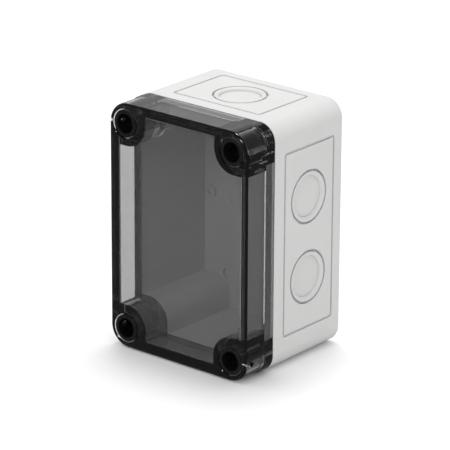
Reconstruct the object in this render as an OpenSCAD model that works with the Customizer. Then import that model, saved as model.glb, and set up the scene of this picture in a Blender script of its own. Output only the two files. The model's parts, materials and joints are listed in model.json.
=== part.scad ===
// Small wall-mounted electrical junction box with a clear smoked lid and metric knock-outs.
// Origin: centre of the bottom face. +X to the right, +Y towards the wall, +Z up.
// Millimetres. Every piece is drawn by its depth behind the lid's front face, then moved.

/* [Box] */
// Width of the closed box
box_w = 64; // [62:1:76]
// Height of the closed box
box_h = 94; // [92:1:110]
// Depth of the closed box, from the lid's front face to its back face
box_d = 54.5; // [52:0.5:70]
// Thickness of the base's walls and back
base_wall = 2.3; // [2.2:0.1:2.6]
// Radius of the base's upright corners
base_corner_r = 6.8; // [6:0.1:7.2]
// Rounding of the base's back edge
back_edge_r = 0.9; // [0.5:0.1:1.2]

/* [Lid] */
// Depth of the lid, from its front face to the seam
lid_d = 15.6; // [15.2:0.1:17]
// Thickness of the lid's window
window_t = 2.4; // [2:0.1:2.8]
// Thickness of the lid's side walls
lid_wall = 3.7; // [3.6:0.1:3.8]
// Radius of the lid's upright corners
lid_corner_r = 8; // [7.4:0.1:8.2]
// Rounding of the lid's front edge
lid_edge_r = 1.2; // [0.8:0.1:1.4]
// Fillet between the window and the side walls, inside the lid
window_fillet_r = 0.8; // [0.5:0.1:1.2]
// Depth of the rim that matches the base's corners, along the seam
lid_rim_d = 4.2; // [3:0.1:5]

/* [Seal] */
// Thickness of the skirt outside the seal channel
skirt_t = 1.1; // [1:0.05:1.2]
// Width of the channel in the lid that holds the gasket
channel_w = 1.4; // [1.4:0.05:1.5]
// Depth behind the front face where the channel starts
channel_at = 11.1; // [11:0.1:11.2]
// Depth of the gasket in its channel
gasket_t = 3.5; // [3.3:0.1:3.6]
// Depth behind the front face where the inner side of the channel ends
lip_to = 14.5; // [14.3:0.1:14.6]

/* [Screws] */
// Distance from a screw's axis to the side of the box
screw_side = 7.3; // [7.2:0.1:7.6]
// Distance from a screw's axis to the end of the box
screw_end = 7.6; // [7.4:0.1:7.8]
// Radius of the round well that holds each screw's head
well_r = 5.5; // [5.4:0.05:5.55]
// Depth of the well, down to the seat under the screw's head
well_d = 11.8; // [11.4:0.1:12]
// Width and depth of the chamfer round each well's mouth
mouth_chamfer = 0.3; // [0.2:0.05:0.4]
// Depth of a tightened screw's face below the lid's front face
head_sunk = 0.2; // [0:0.05:0.4]
// Radius of a screw's head
head_r = 5.2; // [5:0.05:5.2]
// Radius of the round socket in a screw's head
socket_r = 3.7; // [3.4:0.05:3.8]
// Depth of the socket in a screw's head
socket_d = 7; // [6:0.1:7.4]
// Outside radius of a screw's thread
thread_r = 2; // [1.8:0.05:2.2]
// Length of a screw below its head
shank_l = 9.8; // [9:0.1:12]
// Radius of a rubber ring's section
ring_r = 0.65; // [0.5:0.05:0.65]

/* [Knock-outs] */
// Radius of the wall opening for the large cable entry
entry_r = 10.25; // [10.15:0.05:10.3]
// Radius of the opening left by the small disc alone
disc_hole_r = 7.6; // [7.5:0.05:7.7]
// Distance of the side knock-outs above and below mid-height
entry_spread = 15.35; // [14.5:0.05:16]
// Depth of the knock-outs' centres behind the front face
entry_at = 35.1; // [34.5:0.1:36]
// Width of the groove around a knock-out
groove_w = 0.9; // [0.7:0.05:1]
// Depth of the groove around a knock-out
groove_d = 1.3; // [1:0.1:1.5]
// How far the small disc is sunk below its ring, and radius of the ring's rounded edge
disc_sunk = 1.1; // [0.9:0.05:1.2]

/* [Wall panels] */
// Depth behind the front face where the outlined panels start
panel_from = 21; // [20.5:0.1:22]
// Depth behind the front face where the outlined panels end
panel_to = 49.7; // [48:0.1:50]
// Distance of the side panels from the box's ends
panel_end = 11.9; // [11:0.1:13]
// Distance of the end panels from the box's sides
panel_side = 11.7; // [11:0.1:13]
// Width of the panels' outline groove
outline_w = 0.9; // [0.7:0.05:1]
// Depth of the panels' outline groove
outline_d = 0.7; // [0.5:0.05:0.8]

/* [Back wall] */
// Radius of the four blind recesses that are pierced for the wall screws
fixing_r = 1.9; // [1.7:0.05:2.2]
// Depth of those recesses in the back wall
fixing_d = 1.5; // [1:0.1:1.6]
// Distance of the wall screws' recesses from the middle, across
fixing_x = 19.1; // [18.8:0.1:19.3]
// Distance of the wall screws' recesses from mid-height
fixing_z = 31.3; // [30.8:0.1:31.5]

/* [Hidden] */
$fn = 72;

mid_h = box_h / 2;
axis_x = box_w / 2 - screw_side;      // screw axes from the middle, across
axis_z = mid_h - screw_end;           // screw axes from mid-height
eps = 1;                              // how far a cut or a joined piece runs past a face

post_in_r = 6.1;                      // radius at which the channel bends round a screw
post_r = post_in_r + lid_wall - skirt_t;
base_post_r = post_in_r + base_wall - skirt_t;
channel_out = skirt_t;                // inset of the channel's outer side
channel_in = skirt_t + channel_w;     // inset of the channel's inner side
tongue_gap = 0.2;                     // play of the tongue in the channel
gasket_play = 0.05;                   // play between the gasket and what touches it
tongue_from = channel_at + gasket_t + gasket_play;
seam_gap = 0.25;                      // face-to-face play between lid and base

seat_gap = 0.1;                       // gap between a screw's head and its seat
head_t = well_d - seat_gap - head_sunk;
head_edge_r = 0.25;                   // rounding of a screw head's edge
drive_w = 1.2;                        // cross recess in the floor of a screw's socket
drive_l = 5.6;
drive_d = 1.2;
ring_play = 0.05;                     // play of a rubber ring in the well and in its groove
groove_foot = 1.3;                    // thickness of a screw's head below the ring's groove
ring_mid_r = well_r - ring_play - ring_r;
ring_mid_d = head_t - groove_foot - ring_r - ring_play;     // behind the screw's face
tip_l = 1.4;                          // tapered tip of a screw
tip_r = thread_r - 0.7;
shank_gap = 0.3;                      // clearance of the shank in the lid
bore_play = 0.05;                     // running play of the shank in the base
bore_d = well_d - seat_gap + shank_l - lid_d + 1.5;

// Each knock-out's wall, and 1, 0 or -1 for above, at or below mid-height
ENTRIES = [["right", 1], ["right", -1], ["left", 1], ["left", -1], ["top", 0], ["bottom", 0]];
web_play = 0.05;                      // a knock-out's edge to its opening
outline_r = 1.2;                      // corner radius of the panels' outline grooves

seal_hole_r = 1;                      // sealing-wire holes at two opposite corners
seal_hole_at = 3.6;                   // their depth behind the front face
seal_hole_drop = 0.4;                 // how far they are below the screw's axis

boss_x = 26.4;                        // pilot bosses at mid-height on the back wall
boss_r = 2.4;
boss_hole_r = 1.25;
boss_h = 1.2;
mark_x = 15.1;                        // shallow round marks beside the bosses
mark_drop = 1.8;
mark_r = 1.9;
mark_d = 0.35;
gate_r = 2.5;                         // round moulding-gate recess in the back face
gate_d = 0.4;

shell_grey = [0.86, 0.86, 0.85];
smoke = [0.16, 0.16, 0.17, 0.55];
black = [0.05, 0.05, 0.05];
rubber = [0.12, 0.12, 0.12];
foam = [0.25, 0.25, 0.26];

// --- placing helpers ---------------------------------------------------------------

// Moves a piece drawn by depth behind the front face into the box's frame.
module placed() {
    translate([0, -box_d / 2, 0]) children();
}

// Extrudes a front view, drawn in X and Z, between two depths.
module between(from, to) {
    rotate([90, 0, 0]) translate([0, 0, -to]) linear_extrude(to - from) children();
}

// Turns a solid of revolution about Z into one about a line along +Y.
module along_y() {
    rotate([-90, 0, 0]) children();
}

// Repeats a front view at the four screw axes, mirrored towards each corner.
module at_corners() {
    for (sx = [-1, 1], sz = [-1, 1])
        translate([sx * axis_x, mid_h + sz * axis_z])
            mirror([sx < 0 ? 1 : 0, 0]) mirror([0, sz < 0 ? 1 : 0])
                children();
}

// --- outlines, in the front view -----------------------------------------------------

module rounded_rect(w, h, r) {
    square([w - 2 * r, h], center = true);
    square([w, h - 2 * r], center = true);
    for (sx = [-1, 1], sz = [-1, 1])
        translate([sx * (w / 2 - r), sz * (h / 2 - r)]) circle(r);
}

// A screw post: round towards the middle of the box, square towards the corner.
module post_outline(r) {
    reach = screw_end + eps;
    circle(r);
    translate([0, -r]) square([reach, r + reach]);
    translate([-r, 0]) square([r + reach, reach]);
}

// The inside of the seal line: the box's outline, inset, and bent round the posts.
module sealed_outline(inset, r) {
    difference() {
        translate([0, mid_h])
            square([box_w - 2 * inset, box_h - 2 * inset], center = true);
        at_corners() post_outline(r);
    }
}

// --- rounded outer bodies ------------------------------------------------------------

// Section of a slab of half-width or radius r, with its edge at depth 0 rounded by e.
module edge_section(r, e, depth) {
    square([r - e, depth]);
    translate([0, e]) square([r, depth - e]);
    translate([r - e, e]) circle(e);
}

// The same section, mirrored to both sides of the middle.
module slab_section(w, e, depth) {
    edge_section(w / 2, e, depth);
    mirror([1, 0]) edge_section(w / 2, e, depth);
}

// A rounded-rectangle slab whose outer edge at depth 0 is rounded by e.
module rounded_slab(r, e, depth) {
    for (sx = [-1, 1], sz = [-1, 1])
        translate([sx * (box_w / 2 - r), 0, mid_h + sz * (mid_h - r)])
            along_y() rotate_extrude() edge_section(r, e, depth);
    translate([0, 0, r]) linear_extrude(box_h - 2 * r) slab_section(box_w, e, depth);
    translate([box_w / 2 - r, 0, mid_h]) rotate([0, -90, 0])
        linear_extrude(box_w - 2 * r) slab_section(box_h, e, depth);
}

// --- lid -----------------------------------------------------------------------------

// A straight fillet between the window and a side wall, drawn in the corner of an L.
module fillet_section() {
    difference() {
        translate([-eps, -eps]) square(window_fillet_r + eps);
        translate([window_fillet_r, window_fillet_r]) circle(window_fillet_r);
    }
}

module window_fillets() {
    long_run = 2 * (axis_z - post_r + eps);
    short_run = 2 * (axis_x - post_r + eps);
    for (side = [0, 1])
        mirror([side, 0, 0])
            translate([lid_wall - box_w / 2, window_t, mid_h - long_run / 2])
                linear_extrude(long_run) fillet_section();
    for (end = [0, 1])
        translate([0, 0, mid_h]) mirror([0, 0, end]) translate([0, 0, -mid_h])
            translate([short_run / 2, window_t, lid_wall])
                rotate([0, -90, 0]) linear_extrude(short_run) fillet_section();
}

module at_screws() {
    for (sx = [-1, 1], sz = [-1, 1])
        translate([sx * axis_x, 0, mid_h + sz * axis_z]) children();
}

// A well, its chamfered mouth and the clearance hole under its seat, along +Y.
module well_cut() {
    along_y() {
        translate([0, 0, -eps]) cylinder(r = well_r, h = well_d + eps);
        translate([0, 0, -eps])
            cylinder(r1 = well_r + mouth_chamfer + eps, r2 = well_r, h = mouth_chamfer + eps);
        translate([0, 0, well_d - eps])
            cylinder(r = thread_r + shank_gap, h = lid_d - well_d + 2 * eps);
    }
}

// Sealing-wire holes, from the lid's sides into two opposite wells.
module seal_wire_holes() {
    for (s = [-1, 1])
        translate([s * axis_x, seal_hole_at, mid_h - s * axis_z - seal_hole_drop])
            rotate([0, s * 90, 0]) cylinder(r = seal_hole_r, h = screw_side + eps);
}

// The channel's outline, narrowed on both sides by a play.
module channel_outline(play) {
    difference() {
        sealed_outline(channel_out + play, post_in_r + play);
        sealed_outline(channel_in - play, post_in_r + channel_w - play);
    }
}

module lid_body() {
    difference() {
        union() {
            rounded_slab(lid_corner_r, lid_edge_r, lid_d - seam_gap);
            between(lid_d - lid_rim_d, lid_d - seam_gap)
                translate([0, mid_h]) rounded_rect(box_w, box_h, base_corner_r);
        }
        between(window_t, lip_to) sealed_outline(lid_wall, post_r);
        between(channel_at, lip_to) channel_outline(0);
        between(lip_to, lid_d + eps) sealed_outline(channel_out, post_in_r);
        at_screws() well_cut();
        seal_wire_holes();
    }
    window_fillets();
}

module lid() {
    color(smoke) placed() lid_body();
}

module lid_gasket() {
    color(foam) placed()
        between(channel_at + gasket_play, channel_at + gasket_t) channel_outline(gasket_play);
}

// --- screws and their rings ------------------------------------------------------------

// A screw along +Y, with its face at depth 0: a deep round socket with a cross recess in
// its floor, a hole across the head for a sealing wire, and a groove for the rubber ring.
module screw_body() {
    groove_half = ring_r + ring_play;
    along_y() difference() {
        union() {
            rotate_extrude() edge_section(head_r, head_edge_r, head_t);
            translate([0, 0, head_t - eps])
                cylinder(r = thread_r, h = shank_l - tip_l + eps);
            translate([0, 0, head_t + shank_l - tip_l])
                cylinder(r1 = thread_r, r2 = tip_r, h = tip_l);
        }
        translate([0, 0, -eps]) cylinder(r = socket_r, h = socket_d + eps);
        for (turn = [0, 90])
            rotate([0, 0, turn])
                translate([-drive_l / 2, -drive_w / 2, socket_d - eps])
                    cube([drive_l, drive_w, drive_d + eps]);
        translate([0, 0, seal_hole_at - head_sunk]) rotate([0, 90, 0])
            cylinder(r = seal_hole_r, h = 2 * (head_r + eps), center = true);
        translate([0, 0, ring_mid_d - groove_half]) difference() {
            cylinder(r = head_r + eps, h = 2 * groove_half);
            translate([0, 0, -eps])
                cylinder(r = ring_mid_r - groove_half, h = 2 * (groove_half + eps));
        }
    }
}

module screw_at(sx, sz) {
    color(black) placed()
        translate([sx * axis_x, head_sunk, mid_h + sz * axis_z]) screw_body();
}

module screw_top_left() { screw_at(-1, 1); }
module screw_top_right() { screw_at(1, 1); }
module screw_bottom_left() { screw_at(-1, -1); }
module screw_bottom_right() { screw_at(1, -1); }

// The rubber ring that grips the well's wall and keeps an undone screw in the lid.
module ring_at(sx, sz) {
    color(rubber) placed()
        translate([sx * axis_x, head_sunk + ring_mid_d, mid_h + sz * axis_z])
            along_y() rotate_extrude() translate([ring_mid_r, 0]) circle(ring_r);
}

module ring_top_left() { ring_at(-1, 1); }
module ring_top_right() { ring_at(1, 1); }
module ring_bottom_left() { ring_at(-1, -1); }
module ring_bottom_right() { ring_at(1, -1); }

// --- base ------------------------------------------------------------------------------

// Puts a piece drawn about Z, with its outer face at Z = 0 and growing inwards along -Z,
// at a knock-out's place. wall is right, left, top or bottom, and up is 1, 0 or -1.
module at_entry(wall, up) {
    if (wall == "right")
        translate([box_w / 2, entry_at, mid_h + up * entry_spread])
            rotate([0, 90, 0]) children();
    if (wall == "left")
        translate([-box_w / 2, entry_at, mid_h + up * entry_spread])
            rotate([0, -90, 0]) children();
    if (wall == "top")
        translate([0, entry_at, box_h]) children();
    if (wall == "bottom")
        translate([0, entry_at, 0]) rotate([180, 0, 0]) children();
}

module entry_openings() {
    for (entry = ENTRIES)
        at_entry(entry[0], entry[1])
            translate([0, 0, -base_wall - eps]) cylinder(r = entry_r, h = base_wall + 2 * eps);
}

// The groove that outlines a flat panel of the given outer size.
module panel_outline(w, h) {
    difference() {
        rounded_rect(w, h, outline_r);
        rounded_rect(w - 2 * outline_w, h - 2 * outline_w, outline_r - outline_w);
    }
}

module panel_outlines() {
    panel_l = panel_to - panel_from;
    panel_mid = (panel_from + panel_to) / 2;
    cut = outline_d + eps;
    for (s = [-1, 1]) {
        translate([s * (box_w / 2 - outline_d + cut / 2), panel_mid, mid_h])
            rotate([0, 90, 0]) translate([0, 0, -cut / 2])
                linear_extrude(cut) panel_outline(box_h - 2 * panel_end, panel_l);
        translate([0, panel_mid, mid_h + s * (mid_h - outline_d + cut / 2) - cut / 2])
            linear_extrude(cut) panel_outline(box_w - 2 * panel_side, panel_l);
    }
}

// Blind recesses, which leave a thin skin that the wall screws' holes are pierced through.
module fixing_recesses() {
    for (sx = [-1, 1], sz = [-1, 1])
        translate([sx * fixing_x, box_d - base_wall - eps, mid_h + sz * fixing_z])
            along_y() cylinder(r = fixing_r, h = fixing_d + eps);
}

module pilot_bosses() {
    for (s = [-1, 1])
        translate([s * boss_x, box_d - base_wall - boss_h, mid_h])
            along_y() difference() {
                cylinder(r = boss_r, h = boss_h + eps);
                translate([0, 0, -eps]) cylinder(r = boss_hole_r, h = boss_h + eps);
            }
}

// Shallow round marks in the back wall: two inside, and the moulding gate outside.
module back_marks() {
    for (s = [-1, 1])
        translate([s * mark_x, box_d - base_wall - eps, mid_h - mark_drop])
            along_y() cylinder(r = mark_r, h = mark_d + eps);
    translate([0, box_d - gate_d, mid_h]) along_y() cylinder(r = gate_r, h = gate_d + eps);
}

module screw_bores() {
    translate([0, lid_d - eps, 0])
        at_screws() along_y() cylinder(r = thread_r + bore_play, h = bore_d + eps);
}

// The rim that presses into the gasket.
module tongue() {
    between(tongue_from, lid_d + eps) difference() {
        sealed_outline(channel_out + tongue_gap, post_in_r + tongue_gap);
        sealed_outline(base_wall, base_post_r);
    }
}

module base_body() {
    difference() {
        union() {
            translate([0, box_d, 0]) mirror([0, 1, 0])
                rounded_slab(base_corner_r, back_edge_r, box_d - lid_d);
            tongue();
        }
        between(tongue_from - eps, box_d - base_wall)
            sealed_outline(base_wall, base_post_r);
        screw_bores();
        entry_openings();
        panel_outlines();
        fixing_recesses();
        back_marks();
    }
    pilot_bosses();
}

module base_shell() {
    color(shell_grey) placed() base_body();
}

// --- knock-outs --------------------------------------------------------------------------

// Half section of a knock-out's ring. A thin web at its inner face meets the wall and
// leaves the groove outside it, and its outer edge is rounded towards the sunk disc.
module ring_section() {
    difference() {
        polygon([
            [disc_hole_r, -base_wall],
            [entry_r - web_play, -base_wall],
            [entry_r - web_play, -groove_d],
            [entry_r - groove_w, -groove_d],
            [entry_r - groove_w, 0],
            [disc_hole_r, 0]
        ]);
        translate([disc_hole_r, -disc_sunk]) difference() {
            translate([-eps, 0]) square(disc_sunk + eps);
            translate([disc_sunk, 0]) circle(disc_sunk);
        }
    }
}

// The ring between the large opening and the small disc.
module knockout_ring(wall, up) {
    color(shell_grey) placed() at_entry(wall, up) rotate_extrude() ring_section();
}

module knockout_disc(wall, up) {
    color(shell_grey) placed() at_entry(wall, up)
        translate([0, 0, -base_wall])
            cylinder(r = disc_hole_r - web_play, h = base_wall - disc_sunk);
}

module knockout_ring_right_upper() { knockout_ring("right", 1); }
module knockout_ring_right_lower() { knockout_ring("right", -1); }
module knockout_ring_left_upper() { knockout_ring("left", 1); }
module knockout_ring_left_lower() { knockout_ring("left", -1); }
module knockout_ring_top() { knockout_ring("top", 0); }
module knockout_ring_bottom() { knockout_ring("bottom", 0); }

module knockout_disc_right_upper() { knockout_disc("right", 1); }
module knockout_disc_right_lower() { knockout_disc("right", -1); }
module knockout_disc_left_upper() { knockout_disc("left", 1); }
module knockout_disc_left_lower() { knockout_disc("left", -1); }
module knockout_disc_top() { knockout_disc("top", 0); }
module knockout_disc_bottom() { knockout_disc("bottom", 0); }

// --- output ------------------------------------------------------------------------------

base_shell();
lid();
lid_gasket();
screw_top_left();
screw_top_right();
screw_bottom_left();
screw_bottom_right();
ring_top_left();
ring_top_right();
ring_bottom_left();
ring_bottom_right();
knockout_ring_right_upper();
knockout_ring_right_lower();
knockout_ring_left_upper();
knockout_ring_left_lower();
knockout_ring_top();
knockout_ring_bottom();
knockout_disc_right_upper();
knockout_disc_right_lower();
knockout_disc_left_upper();
knockout_disc_left_lower();
knockout_disc_top();
knockout_disc_bottom();
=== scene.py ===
import json
import math

import bpy
from mathutils import Matrix, Vector


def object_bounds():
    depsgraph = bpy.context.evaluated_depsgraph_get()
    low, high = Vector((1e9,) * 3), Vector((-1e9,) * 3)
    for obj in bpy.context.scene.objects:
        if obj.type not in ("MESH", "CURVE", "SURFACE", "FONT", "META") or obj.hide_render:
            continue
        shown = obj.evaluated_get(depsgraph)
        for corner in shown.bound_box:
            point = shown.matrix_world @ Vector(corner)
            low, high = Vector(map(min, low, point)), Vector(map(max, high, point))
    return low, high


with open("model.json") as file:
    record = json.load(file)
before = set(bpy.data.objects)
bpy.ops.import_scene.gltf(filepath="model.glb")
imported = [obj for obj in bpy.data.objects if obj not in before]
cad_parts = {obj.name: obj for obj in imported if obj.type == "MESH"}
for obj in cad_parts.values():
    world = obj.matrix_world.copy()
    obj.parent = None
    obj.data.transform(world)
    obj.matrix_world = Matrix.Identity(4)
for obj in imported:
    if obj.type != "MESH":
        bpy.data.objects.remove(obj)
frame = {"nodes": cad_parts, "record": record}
BOX_LOW, BOX_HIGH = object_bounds()
CENTRE = (BOX_LOW + BOX_HIGH) / 2
SLOT_OF = {s["node"]: s["material_slot"] for s in frame["record"]["subparts"]}


# --- materials ---------------------------------------------------------------


def new_material(name):
    """A node material with its Principled shader, and a helper that adds a node."""
    material = bpy.data.materials.new(name)
    material.use_nodes = True
    tree = material.node_tree
    shader = tree.nodes["Principled BSDF"]

    def add(kind, **inputs):
        node = tree.nodes.new(kind)
        for key, value in inputs.items():
            node.inputs[key.replace("_", " ")].default_value = value
        return node

    return material, tree, shader, add


def object_coordinates(add):
    """The texture coordinates that every pattern here uses."""
    return add("ShaderNodeTexCoord").outputs["Object"]


def add_bump(tree, shader, add, height, strength, distance):
    bump = add("ShaderNodeBump", Strength=strength, Distance=distance)
    tree.links.new(height, bump.inputs["Height"])
    tree.links.new(bump.outputs["Normal"], shader.inputs["Normal"])


def moulded(name, colour, shade, roughness, grain):
    """Moulded plastic: faint cloudy tone, a fine spark-eroded grain and uneven gloss."""
    material, tree, shader, add = new_material(name)
    at = object_coordinates(add)
    cloud = add("ShaderNodeTexNoise", Scale=45.0, Detail=3.0)
    tone = add("ShaderNodeValToRGB")
    tone.color_ramp.elements[0].color = (*[c * shade for c in colour], 1)
    tone.color_ramp.elements[1].color = (*colour, 1)
    tone.color_ramp.elements[0].position = 0.35
    tone.color_ramp.elements[1].position = 0.65
    texture = add("ShaderNodeTexNoise", Scale=grain, Detail=4.0)
    gloss = add("ShaderNodeMapRange")
    gloss.inputs["To Min"].default_value = roughness - 0.05
    gloss.inputs["To Max"].default_value = roughness + 0.05
    for node in (cloud, texture):
        tree.links.new(at, node.inputs["Vector"])
    tree.links.new(cloud.outputs["Fac"], tone.inputs["Fac"])
    tree.links.new(tone.outputs["Color"], shader.inputs["Base Color"])
    tree.links.new(texture.outputs["Fac"], gloss.inputs["Value"])
    tree.links.new(gloss.outputs["Result"], shader.inputs["Roughness"])
    add_bump(tree, shader, add, texture.outputs["Fac"], 0.12, 0.0001)
    return material


def smoked_clear(name):
    """Clear plastic, darkened by the length of the light's path through it."""
    material, tree, shader, add = new_material(name)
    shader.inputs["Base Color"].default_value = (1, 1, 1, 1)
    shader.inputs["Transmission Weight"].default_value = 1
    shader.inputs["IOR"].default_value = 1.58
    at = object_coordinates(add)
    ripple = add("ShaderNodeTexNoise", Scale=60.0, Detail=2.0)
    tree.links.new(at, ripple.inputs["Vector"])
    gloss = add("ShaderNodeMapRange")
    gloss.inputs["To Min"].default_value = 0.0
    gloss.inputs["To Max"].default_value = 0.03
    tree.links.new(ripple.outputs["Fac"], gloss.inputs["Value"])
    tree.links.new(gloss.outputs["Result"], shader.inputs["Roughness"])
    smoke = add("ShaderNodeVolumeAbsorption", Color=(0.5, 0.5, 0.505, 1), Density=262.0)
    out = tree.nodes["Material Output"]
    tree.links.new(smoke.outputs["Volume"], out.inputs["Volume"])
    clear = add("ShaderNodeBsdfTransparent", Color=(0.92, 0.92, 0.92, 1))
    path = add("ShaderNodeLightPath")
    pick = add("ShaderNodeMixShader")
    tree.links.new(path.outputs["Is Shadow Ray"], pick.inputs["Fac"])
    tree.links.new(shader.outputs["BSDF"], pick.inputs[1])
    tree.links.new(clear.outputs["BSDF"], pick.inputs[2])
    tree.links.new(pick.outputs["Shader"], out.inputs["Surface"])
    return material


MATERIALS = {
    "shell_plastic": moulded("shell_plastic", (0.65, 0.65, 0.645), 0.97, 0.5, 2600.0),
    "smoked_plastic": smoked_clear("smoked_plastic"),
    "screw_plastic": moulded("screw_plastic", (0.006, 0.006, 0.006), 0.7, 0.3, 1800.0),
    "ring_rubber": moulded("ring_rubber", (0.02, 0.02, 0.02), 0.8, 0.55, 1500.0),
    "gasket_foam": moulded("gasket_foam", (0.045, 0.045, 0.045), 0.7, 0.85, 3000.0),
}

for node, piece in frame["nodes"].items():
    piece.data.materials.clear()
    piece.data.materials.append(MATERIALS[SLOT_OF[node]])

# --- floor, world, lights and camera -------------------------------------------


def soft_box(name, direction, distance, size, power):
    """A square area light that faces the middle of the box."""
    data = bpy.data.lights.new(name, "AREA")
    data.shape = "SQUARE"
    data.size = size
    data.energy = power
    lamp = bpy.data.objects.new(name, data)
    bpy.context.scene.collection.objects.link(lamp)
    away = Vector(direction).normalized()
    lamp.location = CENTRE + away * distance
    lamp.rotation_mode = "QUATERNION"
    lamp.rotation_quaternion = away.to_track_quat("Z", "Y")


def build_world(seen, light, reflected):
    """An even white studio that lights softly, and is dark where it shows in glossy surfaces."""
    world = bpy.data.worlds.new("studio")
    world.use_nodes = True
    tree = world.node_tree
    background = tree.nodes["Background"]
    background.inputs["Color"].default_value = (1, 1, 1, 1)
    path = tree.nodes.new("ShaderNodeLightPath")
    soft, shown = (tree.nodes.new("ShaderNodeMix") for _ in range(2))
    soft.inputs["A"].default_value = seen
    soft.inputs["B"].default_value = light
    shown.inputs["B"].default_value = reflected
    tree.links.new(path.outputs["Is Diffuse Ray"], soft.inputs["Factor"])
    tree.links.new(soft.outputs["Result"], shown.inputs["A"])
    tree.links.new(path.outputs["Is Glossy Ray"], shown.inputs["Factor"])
    tree.links.new(shown.outputs["Result"], background.inputs["Strength"])
    bpy.context.scene.world = world


def build_stage():
    """A pale floor, the studio's world and three soft lamps: above, in front and behind."""
    bpy.ops.mesh.primitive_plane_add(size=8, location=(0, 0, BOX_LOW.z - 0.0002))
    floor = bpy.context.object
    floor.name = "floor"
    material, tree, shader, add = new_material("floor_white")
    shader.inputs["Base Color"].default_value = (0.93, 0.93, 0.93, 1)
    shader.inputs["Roughness"].default_value = 0.8
    floor.data.materials.append(material)
    floor.visible_glossy = False
    build_world(1.0, 0.88, 0.15)
    soft_box("key", (-0.1, 0.15, 1.0), 0.9, 0.3, 3.0)
    soft_box("front", (0.3, -1.0, 0.75), 0.9, 0.25, 1.2)
    soft_box("back", (-0.6, 0.72, 0.34), 0.8, 0.6, 0.6)


def view_axes(azimuth, elevation):
    """Right, up and back unit vectors of a camera at these angles, in degrees."""
    a, e = math.radians(azimuth), math.radians(elevation)
    back = Vector((math.sin(a) * math.cos(e), -math.cos(a) * math.cos(e), math.sin(e)))
    right = Vector((math.cos(a), math.sin(a), 0))
    return right, back.cross(right), back


def build_camera(azimuth, elevation, roll, distance, lens, aim_right, aim_up):
    """A camera at these angles that looks at a point beside the middle of the box."""
    right, up, back = view_axes(azimuth, elevation)
    target = CENTRE + right * aim_right + up * aim_up
    turn = math.radians(roll)
    right, up = (
        right * math.cos(turn) + up * math.sin(turn),
        up * math.cos(turn) - right * math.sin(turn),
    )
    data = bpy.data.cameras.new("camera")
    data.lens, data.sensor_width = lens, 36
    data.clip_start, data.clip_end = 0.01, 20
    camera = bpy.data.objects.new("camera", data)
    bpy.context.scene.collection.objects.link(camera)
    axes = Matrix((right, up, back)).transposed().to_4x4()
    camera.matrix_world = Matrix.Translation(target + back * distance) @ axes
    bpy.context.scene.camera = camera


build_stage()
build_camera(
    azimuth=39.469,
    elevation=20.088,
    roll=0.319,
    distance=1.1508,
    lens=253.1,
    aim_right=-0.000233,
    aim_up=-0.000827,
)
bpy.context.scene.view_settings.view_transform = "Standard"
